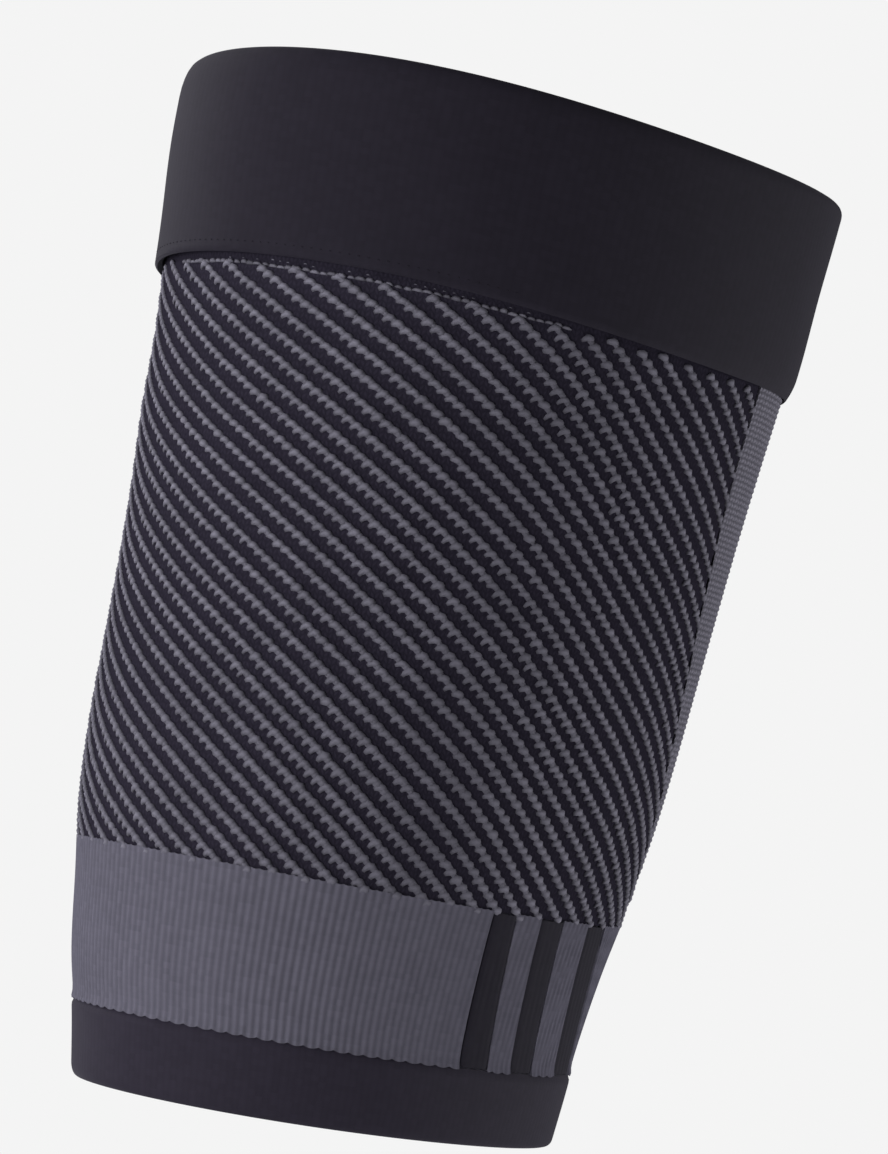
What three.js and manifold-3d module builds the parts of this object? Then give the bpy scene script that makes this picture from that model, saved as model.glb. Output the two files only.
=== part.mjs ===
// Thigh compression sleeve: a hollow knitted tube with a folded top cuff, a ridged front, a plain back,
// a grey lower band with three dark stripes, and a turned hem.
// Millimetres, +Z up the leg, origin on the leg's axis at half the sleeve's length, ridged front at -Y.
import * as THREE from 'three';
import { mergeVertices } from 'three/addons/utils/BufferGeometryUtils.js';
import ManifoldModule from 'manifold-3d';

// Heights of the ring lines
const RIM_Z = 129.3;
const CUFF_EDGE_Z = 76;
const BAND_TOP_Z = -69;
const HEM_TOP_Z = -109;
const HEM_EDGE_Z = -128.6;

// Walls, measured from the outer face of the knit
const GAP = 0.3;
const KNIT_WALL = 2;
const CUFF_PROUD = 1.9;
const HEM_PROUD = 0.6;
const CUFF_FLARE = 0.3;
const CUFF_LAP = 8;
const CUFF_FOLD = 6;
const HEM_FOLD = 3;
const EDGE_EASE = 0.6;

// Ridges of the knit: each runs down the leg from left to right
const RIDGE_COUNT = 54;
const RIDGE_DROP = 5.9;
const RIDGE_HEIGHT = 0.6;
const RIDGE_PHASE_DEG = -1.9;
const RIDGE_PROFILE = [
  { share: -0.27, rise: 0 },
  { share: 0, rise: RIDGE_HEIGHT },
  { share: 0.27, rise: 0 },
];

// Outer face of the knit up the leg: half its width, and its middle's shift to +X
const LEG_SECTIONS = [
  { z: -133, half: 61.7, shift: 1.9 },
  { z: -115, half: 64.4, shift: 0.9 },
  { z: -100, half: 66.8, shift: -0.5 },
  { z: -80, half: 69.7, shift: -0.9 },
  { z: -60, half: 73.1, shift: -0.8 },
  { z: -40, half: 75.3, shift: -0.1 },
  { z: -20, half: 76.5, shift: 0.5 },
  { z: 0, half: 77.5, shift: 0.9 },
  { z: 20, half: 78.7, shift: 1.1 },
  { z: 40, half: 80.2, shift: 1.1 },
  { z: 60, half: 81.5, shift: 1.6 },
  { z: 74, half: 82.8, shift: 1.7 },
  { z: 90, half: 84.2, shift: 1.8 },
  { z: 110, half: 85.7, shift: 1.5 },
  { z: 133, half: 86.7, shift: 2.1 },
];

// Section of the thigh: an ellipse, longer from front to back, whose front is turned towards -X
const SECTION_ASPECT = 1.2;
const FRONT_DEG = -45;

// Ring lines rise towards +X, and the upper ones wave a little round the leg
const RING_RISE = 2.8;
const RIM_WAVE = 2;

// Lower edge of the cuff: raised round the front, between two slopes given by their arc angles
const EDGE_RISE = 2.4;
const EDGE_UP_DEG = [-178, -130];
const EDGE_DOWN_DEG = [-20, 60];

// Plain back panel: arc angles of its two edges, from -Y towards +X
const PANEL_EDGE_TOP_DEG = 68.5;
const PANEL_EDGE_BOTTOM_DEG = 92;
const PANEL_FAR_EDGE_DEG = 222;
const PANEL_SUNK = 0.3;

// Dark stripes of the lower band: arc angles of both edges at the band's top and at the hem
const STRIPES = [
  { startTop: 32.6, endTop: 38.7, startHem: 34.4, endHem: 43.0 },
  { startTop: 46.1, endTop: 53.6, startHem: 50.7, endHem: 59.4 },
  { startTop: 63.7, endTop: 72.6, startHem: 71.5, endHem: 86.0 },
];
const STRIPE_WALL = 1;

// Fineness of the surfaces
const RING_SEGMENTS = 64;
const FOLD_SEGMENTS = 5;
const ROW_HEIGHT = 14;
const RIDGE_ROW_HEIGHT = 9;

// Flat ring that every piece is drawn on before it is fitted to the leg
const FLAT_RADIUS = 75;

const FRONT = THREE.MathUtils.degToRad(FRONT_DEG);
const LONG_AXIS = 1 / Math.hypot(Math.sin(FRONT), Math.cos(FRONT) / SECTION_ASPECT);
const SHORT_AXIS = LONG_AXIS / SECTION_ASPECT;
const ARC_EVENING = (SECTION_ASPECT ** 2 - 1) / (SECTION_ASPECT ** 2 + 1) / 4;
const ELLIPSE_AT_MINUS_Y = Math.atan(-SECTION_ASPECT * Math.tan(FRONT));
const ARC_AT_MINUS_Y = ELLIPSE_AT_MINUS_Y - ARC_EVENING * Math.sin(2 * ELLIPSE_AT_MINUS_Y);
const LAP_TOP_Z = CUFF_EDGE_Z + CUFF_LAP;
const GAP_ANGLE = GAP / FLAT_RADIUS;

const wasm = await ManifoldModule();
wasm.setup();

// One column of the section table at a height, on a smooth curve through its rows
function legValue(column, height) {
  const rows = LEG_SECTIONS;
  const last = rows.length - 1;
  const z = THREE.MathUtils.clamp(height, rows[0].z, rows[last].z);
  const upper = Math.max(1, rows.findIndex((row) => row.z >= z));
  const lower = upper - 1;
  const slope = (i) => {
    const before = rows[Math.max(0, i - 1)];
    const after = rows[Math.min(last, i + 1)];
    return (after[column] - before[column]) / (after.z - before.z);
  };
  const span = rows[upper].z - rows[lower].z;
  const t = (z - rows[lower].z) / span;
  const ease = t * t * (3 - 2 * t);
  const leave = t * (1 - t) * (1 - t) * span * slope(lower);
  const arrive = t * t * (1 - t) * span * slope(upper);
  return THREE.MathUtils.lerp(rows[lower][column], rows[upper][column], ease) + leave - arrive;
}

// Point on the sleeve at an arc angle from -Y towards +X, a ring height, and an offset outwards
function pointOnLeg(turn, height, offset) {
  const wave = RIM_WAVE * (height - HEM_EDGE_Z) / (RIM_Z - HEM_EDGE_Z);
  const z = height + RING_RISE * Math.sin(turn) - wave * Math.sin(2 * turn);
  const half = legValue('half', z) + offset;
  const arc = turn + ARC_AT_MINUS_Y;
  const angle = arc + ARC_EVENING * Math.sin(2 * arc);
  const along = half * LONG_AXIS * Math.cos(angle);
  const across = half * SHORT_AXIS * Math.sin(angle);
  const x = legValue('shift', z) + along * Math.sin(FRONT) + across * Math.cos(FRONT);
  const y = across * Math.sin(FRONT) - along * Math.cos(FRONT);
  return new THREE.Vector3(x, y, z);
}

// Closed geometry drawn round the Y axis, fitted to the leg; placeAt moves a drawn arc angle and height
function fitToLeg(drawn, placeAt = (turn, height) => [turn, height]) {
  const position = drawn.getAttribute('position');
  for (let i = 0; i < position.count; i += 1) {
    const drawnTurn = Math.atan2(position.getX(i), position.getZ(i));
    const offset = Math.hypot(position.getX(i), position.getZ(i)) - FLAT_RADIUS;
    const [turn, height] = placeAt(drawnTurn, position.getY(i));
    const point = pointOnLeg(turn, height, offset);
    position.setXYZ(i, point.x, point.y, point.z);
  }
  drawn.deleteAttribute('normal');
  drawn.deleteAttribute('uv');
  return mergeVertices(drawn);
}

// Drawn point of a flat ring seen from above
function drawnPoint(turn, offset) {
  const radius = FLAT_RADIUS + offset;
  return new THREE.Vector2(radius * Math.sin(turn), -radius * Math.cos(turn));
}

// Outline in the flat ring's plane, raised from one height to another in even rows
function raise(outline, bottom, top, rowHeight) {
  const steps = Math.ceil((top - bottom) / rowHeight);
  const raised = new THREE.ExtrudeGeometry(outline, { depth: top - bottom, steps, bevelEnabled: false });
  raised.rotateX(-Math.PI / 2);
  raised.translate(0, bottom, 0);
  return raised;
}

// Ring from a closed profile of offset and height pairs
function ring(profile, placeAt) {
  const points = [...profile, profile[0]].map(([offset, height]) => (
    new THREE.Vector2(FLAT_RADIUS + offset, height)));
  return fitToLeg(new THREE.LatheGeometry(points, RING_SEGMENTS), placeAt);
}

// Curved slab between two edges, whose arc angles follow the height
function slab({ startAt, endAt, bottom, top, inner, outer }) {
  const middle = (bottom + top) / 2;
  const span = endAt(middle) - startAt(middle);
  const count = Math.ceil(span / (2 * Math.PI) * RING_SEGMENTS);
  const turns = Array.from({ length: count + 1 }, (_, i) => -span / 2 + span * i / count);
  const outline = new THREE.Shape([
    ...turns.map((turn) => drawnPoint(turn, outer)),
    ...turns.map((turn) => drawnPoint(turn, inner)).reverse(),
  ]);
  const placeAt = (turn, height) => [
    THREE.MathUtils.mapLinear(turn, -span / 2, span / 2, startAt(height), endAt(height)),
    height,
  ];
  return fitToLeg(raise(outline, bottom, top, ROW_HEIGHT), placeAt);
}

// Ring with raised ridges outside, each leaning round the leg as it drops
function ridgedRing(bottom, top) {
  const step = 2 * Math.PI / RIDGE_COUNT;
  const outline = new THREE.Shape();
  const bore = new THREE.Path();
  const outside = [];
  const inside = [];
  for (let ridge = 0; ridge < RIDGE_COUNT; ridge += 1) {
    for (const { share, rise } of RIDGE_PROFILE) {
      outside.push(drawnPoint((ridge + share) * step, rise - RIDGE_HEIGHT));
    }
    inside.push(drawnPoint(ridge * step, -KNIT_WALL));
  }
  outline.setFromPoints(outside);
  bore.setFromPoints(inside);
  outline.holes.push(bore);
  const phase = THREE.MathUtils.degToRad(RIDGE_PHASE_DEG);
  const placeAt = (turn, height) => [turn + phase - step * height / RIDGE_DROP, height];
  return fitToLeg(raise(outline, bottom, top, RIDGE_ROW_HEIGHT), placeAt);
}

// Solid for cutting, from a closed geometry
function solid(geometry) {
  return new wasm.Manifold(new wasm.Mesh({
    numProp: 3,
    vertProperties: geometry.getAttribute('position').array,
    triVerts: Uint32Array.from(geometry.index.array),
  }));
}

// Geometry with the space of other geometries cut out of it
function cutOut(geometry, ...cutters) {
  const rest = cutters.reduce((left, cutter) => left.subtract(solid(cutter)), solid(geometry));
  const { vertProperties, triVerts } = rest.getMesh();
  const result = new THREE.BufferGeometry();
  result.setAttribute('position', new THREE.BufferAttribute(vertProperties, 3));
  result.setIndex(new THREE.BufferAttribute(triVerts, 1));
  return result;
}

// Heights between two ring lines, spread evenly, without the ends
function rowsBetween(from, to) {
  const count = Math.ceil(Math.abs(to - from) / ROW_HEIGHT);
  return Array.from({ length: count - 1 }, (_, i) => THREE.MathUtils.lerp(from, to, (i + 1) / count));
}

// Rounded fold over the edge of a wall, from its outer face to its inner face
function fold(outer, inner, edgeZ, depth) {
  const middle = (outer + inner) / 2;
  const reach = (outer - inner) / 2;
  return Array.from({ length: FOLD_SEGMENTS + 1 }, (_, i) => {
    const angle = Math.PI * i / FOLD_SEGMENTS;
    return [middle + reach * Math.cos(angle), edgeZ - depth * (1 - Math.sin(angle))];
  });
}

// Place of a drawn point of the cuff, whose lower edge is raised round the front
function cuffPlace(turn, height) {
  const { radToDeg, smoothstep } = THREE.MathUtils;
  const degrees = radToDeg(turn);
  const share = smoothstep(degrees, ...EDGE_UP_DEG) * (1 - smoothstep(degrees, ...EDGE_DOWN_DEG));
  const fade = 1 - smoothstep(height, CUFF_EDGE_Z, LAP_TOP_Z);
  return [turn, height + EDGE_RISE * share * fade];
}

// Folded cuff that laps over the top of the knit, with a rounded rim
function cuffGeometry() {
  const step = LAP_TOP_Z + GAP;
  return ring([
    [GAP, CUFF_EDGE_Z + EDGE_EASE],
    [GAP + EDGE_EASE, CUFF_EDGE_Z],
    [CUFF_PROUD, CUFF_EDGE_Z],
    [CUFF_PROUD + CUFF_FLARE, CUFF_EDGE_Z + EDGE_EASE],
    ...rowsBetween(CUFF_EDGE_Z, RIM_Z - CUFF_FOLD).map((z) => [CUFF_PROUD, z]),
    ...fold(CUFF_PROUD, -KNIT_WALL, RIM_Z, CUFF_FOLD),
    ...rowsBetween(RIM_Z - CUFF_FOLD, step).map((z) => [-KNIT_WALL, z]),
    [-KNIT_WALL, step],
    [GAP, step],
  ], cuffPlace);
}

// Arc angle of the back panel's near edge: it keeps upright under the cuff and swings back lower down
function panelEdge(height) {
  const drop = (CUFF_EDGE_Z - height) / (CUFF_EDGE_Z - BAND_TOP_Z);
  const swing = Math.max(0, drop) ** 2;
  return THREE.MathUtils.degToRad(THREE.MathUtils.lerp(PANEL_EDGE_TOP_DEG, PANEL_EDGE_BOTTOM_DEG, swing));
}

// Plain panel, or with a margin the space that it needs in the ridged knit
function panelGeometry(margin) {
  const clearance = margin > 0 ? KNIT_WALL : 0;
  return slab({
    startAt: (height) => panelEdge(height) - margin,
    endAt: () => THREE.MathUtils.degToRad(PANEL_FAR_EDGE_DEG) + margin,
    bottom: BAND_TOP_Z + GAP / 2 - clearance,
    top: LAP_TOP_Z + clearance,
    inner: -KNIT_WALL - clearance,
    outer: -PANEL_SUNK + clearance,
  });
}

// Ridged knit, with room for the plain panel
function bodyGeometry() {
  return cutOut(ridgedRing(BAND_TOP_Z + GAP / 2, LAP_TOP_Z), panelGeometry(GAP_ANGLE));
}

// Dark stripe let into the band, or with a margin the recess that it lies in
function stripeGeometry(stripe, margin) {
  const edgeAt = (atTop, atHem, side) => (height) => {
    const degrees = THREE.MathUtils.mapLinear(height, BAND_TOP_Z, HEM_TOP_Z, atTop, atHem);
    return THREE.MathUtils.degToRad(degrees) + side * margin;
  };
  const clearance = margin > 0 ? GAP : 0;
  return slab({
    startAt: edgeAt(stripe.startTop, stripe.startHem, -1),
    endAt: edgeAt(stripe.endTop, stripe.endHem, 1),
    bottom: HEM_TOP_Z + GAP / 2 - clearance,
    top: BAND_TOP_Z - GAP / 2 + clearance,
    inner: -STRIPE_WALL - clearance,
    outer: clearance,
  });
}

// Grey band with a recess for each stripe
function bandGeometry() {
  const bottom = HEM_TOP_Z + GAP / 2;
  const top = BAND_TOP_Z - GAP / 2;
  const rows = rowsBetween(bottom, top);
  const plain = ring([
    [-KNIT_WALL, bottom],
    [0, bottom],
    ...rows.map((z) => [0, z]),
    [0, top],
    [-KNIT_WALL, top],
    ...rows.toReversed().map((z) => [-KNIT_WALL, z]),
  ]);
  return cutOut(plain, ...STRIPES.map((stripe) => stripeGeometry(stripe, GAP_ANGLE)));
}

// Turned hem with a rounded lower edge
function hemGeometry() {
  const top = HEM_TOP_Z - GAP / 2;
  return ring([
    ...fold(HEM_PROUD, -KNIT_WALL, HEM_EDGE_Z, -HEM_FOLD).reverse(),
    [HEM_PROUD, top - EDGE_EASE],
    [HEM_PROUD - EDGE_EASE, top],
    [-KNIT_WALL, top],
  ]);
}

const darkKnit = new THREE.MeshStandardMaterial({ color: '#2a2830', roughness: 0.85, metalness: 0 });
const ridgedKnit = new THREE.MeshStandardMaterial({ color: '#3d3b45', roughness: 0.9, metalness: 0 });
const greyKnit = new THREE.MeshStandardMaterial({ color: '#5d5b66', roughness: 0.9, metalness: 0 });

const sleeve = new THREE.Group();
sleeve.name = 'thigh_sleeve';

function addPiece(name, geometry, material) {
  const piece = new THREE.Mesh(geometry, material);
  piece.name = name;
  sleeve.add(piece);
}

addPiece('top_cuff', cuffGeometry(), darkKnit);
addPiece('knit_body', bodyGeometry(), ridgedKnit);
addPiece('back_panel', panelGeometry(0), greyKnit);
addPiece('lower_band', bandGeometry(), greyKnit);
STRIPES.forEach((stripe, i) => {
  addPiece(`band_stripe_${i + 1}`, stripeGeometry(stripe, 0), darkKnit);
});
addPiece('bottom_hem', hemGeometry(), darkKnit);

export default sleeve;
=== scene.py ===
"""Thigh compression sleeve: knitted pieces drawn on the leg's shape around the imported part, in a studio.

Metres, +Z up the leg, the ridged front at -Y. Every piece is drawn by arc angle round the leg, ring height
and offset outwards from the knit's outer face, and then fitted to the leg.
"""

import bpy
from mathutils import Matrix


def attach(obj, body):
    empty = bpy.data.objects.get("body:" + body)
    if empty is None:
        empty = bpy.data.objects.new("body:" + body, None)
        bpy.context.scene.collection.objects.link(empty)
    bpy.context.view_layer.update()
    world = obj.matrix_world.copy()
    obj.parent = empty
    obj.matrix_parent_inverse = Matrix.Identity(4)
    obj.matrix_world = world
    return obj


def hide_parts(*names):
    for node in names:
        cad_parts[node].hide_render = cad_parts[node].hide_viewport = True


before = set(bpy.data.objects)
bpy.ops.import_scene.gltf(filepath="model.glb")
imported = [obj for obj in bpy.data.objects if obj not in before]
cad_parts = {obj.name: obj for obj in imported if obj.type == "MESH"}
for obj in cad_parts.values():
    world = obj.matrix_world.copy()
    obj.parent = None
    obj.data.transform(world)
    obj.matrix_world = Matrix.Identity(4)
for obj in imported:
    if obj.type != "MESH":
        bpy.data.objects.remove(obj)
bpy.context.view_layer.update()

import logging
import math
from collections.abc import Sequence
from dataclasses import astuple, dataclass
from enum import Enum
from typing import Any

import bpy
import numpy as np
from mathutils import Matrix, Vector

LOG = logging.getLogger("thigh_sleeve")

MM = 0.001
BODY = "root"
COORDINATES = "knit"

# Ring lines, as heights before they rise and wave round the leg
RIM = 129.3 * MM
CUFF_EDGE = 76 * MM
CUFF_LAP = 8 * MM
BAND_TOP = -69 * MM
HEM_TOP = -109 * MM
HEM_EDGE = -128.6 * MM

# Knit: needles round the leg, courses up it, walls and gaps
NEEDLES = 216
NEEDLES_PER_RIDGE = 4
NEEDLE_TURN = 2 * math.pi / NEEDLES
RIDGE_PHASE = math.radians(-1.9)
FAR_EDGE = math.radians(222 - 360)
COURSE = 5.9 * MM / NEEDLES_PER_RIDGE
WALL = 2 * MM
GAP = 0.3 * MM

# Strands of yarn: share of a stitch's knit coordinates that one takes up, and the painted highlight along its
# length, which falls off into painted shade towards its ends
STRAND_SPAN = 0.8
BEAD_MIDDLE = 0.56
BEAD_END_SHADE = 0.75
BEAD_ROUND = 1.7

Colour = tuple[float, float, float, float]


class Slot(Enum):
    """Material slots of the record."""

    SMOOTH_DARK = "smooth_dark_knit"
    RIDGED = "ridged_knit"
    PLAIN_GREY = "plain_grey_knit"
    RIBBED_GREY = "ribbed_grey_knit"
    RIBBED_DARK = "ribbed_dark_knit"


class Loops(Enum):
    """Ways in which the yarn of a finish lies."""

    JERSEY = "jersey"
    RIB = "rib"
    STRAND = "strand"


@dataclass(frozen=True)
class Station:
    """One row of the leg's section table."""

    z: float
    half: float
    shift: float


def stations(*rows: tuple[float, float, float]) -> tuple[Station, ...]:
    """Turn rows of height, half width and shift in millimetres into stations in metres."""
    return tuple(Station(z * MM, half * MM, shift * MM) for z, half, shift in rows)


@dataclass(frozen=True)
class Leg:
    """Shape of the worn sleeve: a turned ellipse whose size follows the height."""

    rows: tuple[Station, ...] = stations(
        (-133, 61.7, 1.9),
        (-115, 64.4, 0.9),
        (-100, 66.8, -0.5),
        (-80, 69.7, -0.9),
        (-60, 73.1, -0.8),
        (-40, 75.3, -0.1),
        (-20, 76.5, 0.5),
        (0, 77.5, 0.9),
        (20, 78.7, 1.1),
        (40, 80.2, 1.1),
        (60, 81.5, 1.6),
        (74, 82.8, 1.7),
        (90, 84.2, 1.8),
        (110, 85.7, 1.5),
        (133, 86.7, 2.1),
    )
    aspect: float = 1.2
    front: float = math.radians(-45)
    ring_rise: float = 2.8 * MM
    rim_wave: float = 2 * MM

    def column(self, name: str, z: np.ndarray) -> np.ndarray:
        """Read one column of the section table on a smooth curve through its rows.

        Args:
            name: Column, "half" or "shift".
            z: Heights to read it at.

        Returns:
            The column's values at those heights.
        """
        at = np.array([row.z for row in self.rows])
        values = np.array([getattr(row, name) for row in self.rows])
        slopes = np.empty_like(values)
        slopes[1:-1] = (values[2:] - values[:-2]) / (at[2:] - at[:-2])
        slopes[0] = (values[1] - values[0]) / (at[1] - at[0])
        slopes[-1] = (values[-1] - values[-2]) / (at[-1] - at[-2])
        z = np.clip(z, at[0], at[-1])
        low = np.clip(np.searchsorted(at, z) - 1, 0, len(at) - 2)
        span = at[low + 1] - at[low]
        t = (z - at[low]) / span
        blend = t * t * (3 - 2 * t)
        leave = t * (1 - t) ** 2 * span * slopes[low]
        arrive = t * t * (1 - t) * span * slopes[low + 1]
        return values[low] + (values[low + 1] - values[low]) * blend + leave - arrive

    def points(self, turn: np.ndarray, height: np.ndarray, offset: np.ndarray) -> np.ndarray:
        """Place drawn points on the leg.

        Args:
            turn: Arc angles from -Y towards +X.
            height: Ring heights.
            offset: Distances outwards from the knit's outer face.

        Returns:
            Points in the last axis of the array.
        """
        long_axis = 1 / math.hypot(math.sin(self.front), math.cos(self.front) / self.aspect)
        short_axis = long_axis / self.aspect
        evening = (self.aspect**2 - 1) / (self.aspect**2 + 1) / 4
        start = math.atan(-self.aspect * math.tan(self.front))
        wave = self.rim_wave * (height - HEM_EDGE) / (RIM - HEM_EDGE)
        z = height + self.ring_rise * np.sin(turn) - wave * np.sin(2 * turn)
        half = self.column("half", z) + offset
        arc = turn + start - evening * math.sin(2 * start)
        angle = arc + evening * np.sin(2 * arc)
        along = half * long_axis * np.cos(angle)
        across = half * short_axis * np.sin(angle)
        x = self.column("shift", z) + along * math.sin(self.front) + across * math.cos(self.front)
        y = across * math.sin(self.front) - along * math.cos(self.front)
        return np.stack([x, y, z], axis=-1)


class KnitMesh:
    """Points and faces of one piece, drawn on the leg, with knit coordinates for its yarn."""

    def __init__(self, name: str, leg: Leg) -> None:
        """Start an empty piece."""
        self.name = name
        self.leg = leg
        self.points: list[np.ndarray] = []
        self.corners: list[np.ndarray] = []
        self.totals: list[np.ndarray] = []
        self.coordinates: list[np.ndarray] = []
        self.count = 0

    def _add(self, points: np.ndarray) -> int:
        """Keep points and return the index of the first."""
        first = self.count
        self.points.append(points.reshape(-1, 3))
        self.count += points.size // 3
        return first

    def _faces(self, corners: np.ndarray, coordinates: np.ndarray) -> None:
        """Keep faces of one size, with a knit coordinate for each corner."""
        self.corners.append(corners.ravel())
        self.totals.append(np.full(len(corners), corners.shape[1]))
        self.coordinates.append(coordinates.reshape(-1, 2))

    def shell(self, turn: np.ndarray, height: np.ndarray, offset: np.ndarray, ring: bool) -> None:
        """Add a closed wall from a closed profile, swept round the leg.

        Args:
            turn: Arc angles, a row for each profile point and a column for each place round the leg.
            height: Ring heights, laid out alike.
            offset: Offsets outwards, laid out alike.
            ring: Whether the last column joins the first; otherwise both ends are capped.
        """
        turn, height, offset = np.broadcast_arrays(turn, height, offset)
        rows, columns = turn.shape
        first = self._add(self.leg.points(turn, height, offset))
        index = first + np.arange(rows * columns).reshape(rows, columns)
        wale = (turn - RIDGE_PHASE) / NEEDLE_TURN
        course = height / COURSE
        if ring:
            index = np.concatenate([index, index[:, :1]], axis=1)
            wale = np.concatenate([wale, wale[:, :1] + NEEDLES], axis=1)
            course = np.concatenate([course, course[:, :1]], axis=1)
        else:
            caps = np.stack([index[:, 0][::-1], index[:, -1]])
            ends = np.stack([wale[:, [0, -1]].T, course[:, [0, -1]].T], axis=-1)
            ends[0] = ends[0][::-1]
            self._faces(caps, ends)
        index, wale, course = (np.concatenate([a, a[:1]], axis=0) for a in (index, wale, course))
        knit = np.stack([wale, course], axis=-1)
        around = [np.s_[:-1, :-1], np.s_[:-1, 1:], np.s_[1:, 1:], np.s_[1:, :-1]]
        self._faces(
            np.stack([index[part].ravel() for part in around], axis=1),
            np.stack([knit[part].reshape(-1, 2) for part in around], axis=1),
        )

    def tubes(
        self,
        turn: np.ndarray,
        height: np.ndarray,
        line: np.ndarray,
        breadth: np.ndarray,
        depth: np.ndarray,
        tone: float | np.ndarray = 1.0,
        sides: int = 6,
    ) -> None:
        """Add short closed strands of yarn that lie on the leg.

        Their knit coordinates run along the strand and from its underside to its top.

        Args:
            turn: Arc angle of each strand's place.
            height: Ring height of each strand's place.
            line: For each strand, points of its middle as distances along the ring, up and outwards.
            breadth: Half width along the cloth, for each strand and point.
            depth: Half height off the cloth, for each strand and point.
            tone: Painted shade or painted highlight on the top of each strand: 1 for its finish, lower for
                painted shade, at most 1.2 for painted highlight.
            sides: Sides of a strand's section.
        """
        strands, knots = line.shape[:2]
        along = np.gradient(line, axis=1)[..., :2]
        along /= np.linalg.norm(along, axis=-1, keepdims=True)
        angle = 2 * np.pi * (np.arange(sides) + 0.5) / sides
        wide = breadth[..., None] * np.cos(angle)
        flat = np.empty((strands, knots, sides, 3))
        flat[..., 0] = line[..., None, 0] + wide * along[..., None, 1]
        flat[..., 1] = line[..., None, 1] - wide * along[..., None, 0]
        flat[..., 2] = line[..., None, 2] + depth[..., None] * np.sin(angle)
        ring_height = height[:, None, None] + flat[..., 1]
        reach = self.leg.column("half", ring_height)
        ring_turn = turn[:, None, None] + flat[..., 0] / reach
        first = self._add(self.leg.points(ring_turn, ring_height, flat[..., 2]))
        index = first + np.arange(strands * knots * sides).reshape(strands, knots, sides)
        cell = np.stack([(turn - RIDGE_PHASE) / NEEDLE_TURN, height / COURSE], axis=-1)
        cell = np.floor(cell + 0.5)[:, None, None, :]
        span = np.stack(np.meshgrid(np.linspace(-1, 1, knots), np.sin(angle), indexing="ij"), axis=-1)
        span = np.repeat(span[None], strands, axis=0)
        span[..., 1] *= np.broadcast_to(tone, strands)[:, None, None]
        knit = cell + STRAND_SPAN / 2 * span
        turned, knit_turned = np.roll(index, -1, axis=2), np.roll(knit, -1, axis=2)
        quads = [index[:, :-1], index[:, 1:], turned[:, 1:], turned[:, :-1]]
        spots = [knit[:, :-1], knit[:, 1:], knit_turned[:, 1:], knit_turned[:, :-1]]
        self._faces(
            np.stack([quad.ravel() for quad in quads], axis=1),
            np.stack([spot.reshape(-1, 2) for spot in spots], axis=1),
        )
        self._faces(index[:, 0], knit[:, 0])
        self._faces(index[:, -1, ::-1], knit[:, -1, ::-1])

    def piece(self, finish: "KnitFinish", crease: float = math.radians(50)) -> bpy.types.Object:
        """Make the object.

        Args:
            finish: Finish of the whole piece.
            crease: Angle from which an edge between faces is sharp.

        Returns:
            The object, linked to the scene.
        """
        points = np.concatenate(self.points)
        corners = np.concatenate(self.corners)
        totals = np.concatenate(self.totals)
        starts = np.concatenate([[0], np.cumsum(totals)[:-1]])
        mesh = bpy.data.meshes.new(self.name)
        mesh.vertices.add(len(points))
        mesh.vertices.foreach_set("co", points.astype(np.float32).ravel())
        mesh.loops.add(len(corners))
        mesh.loops.foreach_set("vertex_index", corners.astype(np.int32))
        mesh.polygons.add(len(totals))
        mesh.polygons.foreach_set("loop_start", starts.astype(np.int32))
        mesh.polygons.foreach_set("loop_total", totals.astype(np.int32))
        mesh.polygons.foreach_set("use_smooth", np.ones(len(totals), bool))
        layer = mesh.uv_layers.new(name=COORDINATES)
        layer.uv.foreach_set("vector", np.concatenate(self.coordinates).astype(np.float32).ravel())
        mesh.update(calc_edges=True)
        mesh.set_sharp_from_angle(angle=crease)
        mesh.materials.append(finish.material())
        made = bpy.data.objects.new(self.name, mesh)
        bpy.context.scene.collection.objects.link(made)
        return made


class Value:
    """A shader value: a node's output whose arithmetic adds Math nodes."""

    def __init__(self, graph: "Graph", socket: bpy.types.NodeSocket) -> None:
        """Keep the socket and the graph that it is in."""
        self.graph = graph
        self.socket = socket

    def math(self, operation: str, *values: "Number") -> "Value":
        """Add a Math node on the given values."""
        return self.graph.node("ShaderNodeMath", {"operation": operation}, dict(enumerate(values)))

    def __add__(self, other: "Number") -> "Value":
        """Add."""
        return self.math("ADD", self, other)

    def __radd__(self, other: "Number") -> "Value":
        """Add to a number."""
        return self.math("ADD", other, self)

    def __sub__(self, other: "Number") -> "Value":
        """Subtract."""
        return self.math("SUBTRACT", self, other)

    def __rsub__(self, other: "Number") -> "Value":
        """Subtract from a number."""
        return self.math("SUBTRACT", other, self)

    def __mul__(self, other: "Number") -> "Value":
        """Multiply."""
        return self.math("MULTIPLY", self, other)

    def __rmul__(self, other: "Number") -> "Value":
        """Multiply a number."""
        return self.math("MULTIPLY", other, self)

    def __pow__(self, other: "Number") -> "Value":
        """Raise to a power."""
        return self.math("POWER", self, other)

    def __rpow__(self, other: "Number") -> "Value":
        """Raise a number to this power."""
        return self.math("POWER", other, self)

    def __abs__(self) -> "Value":
        """Take away the sign."""
        return self.math("ABSOLUTE", self)

    def part(self) -> "Value":
        """Keep the part after the point."""
        return self.math("FRACT", self)

    def sine(self) -> "Value":
        """Take the sine."""
        return self.math("SINE", self)


Number = float | Value


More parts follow.
